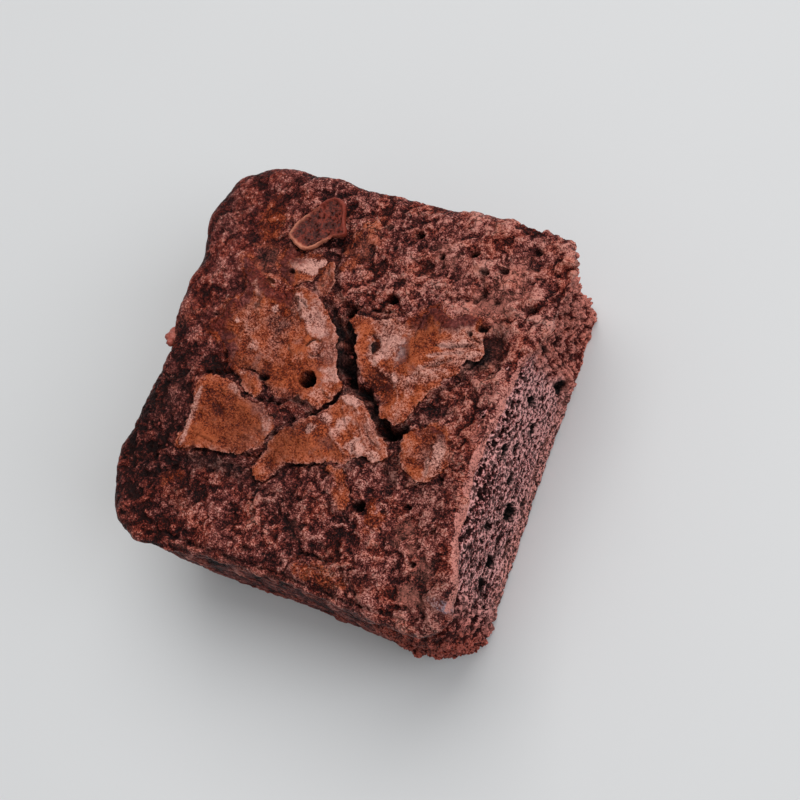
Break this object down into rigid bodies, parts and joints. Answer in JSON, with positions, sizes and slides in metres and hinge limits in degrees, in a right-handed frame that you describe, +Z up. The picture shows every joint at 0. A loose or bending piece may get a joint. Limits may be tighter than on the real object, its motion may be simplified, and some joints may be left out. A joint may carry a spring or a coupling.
{
  "type": "chocolate brownie",
  "caption": "Square-cut chocolate brownie with a crackled crust top, rounded baked sides, one knife-cut crumb side and a loose crust flake on top.",
  "frame": {"origin": "centre of the bounding box, on the plane the brownie rests on", "axes": "+X towards the knife-cut side, +Y towards the back, +Z up out of the crackled top"},
  "size_m": [0.0612, 0.0634, 0.0271],
  "materials": {
    "brownie_crumb": "baked chocolate crust and crumb, satin where the skin is smooth",
    "flake_crust": "dry porous baked crust"
  },
  "bodies": {
    "root": {"brownie": "brownie_crumb", "crust_flake": "flake_crust"}
  },
  "joints": []
}
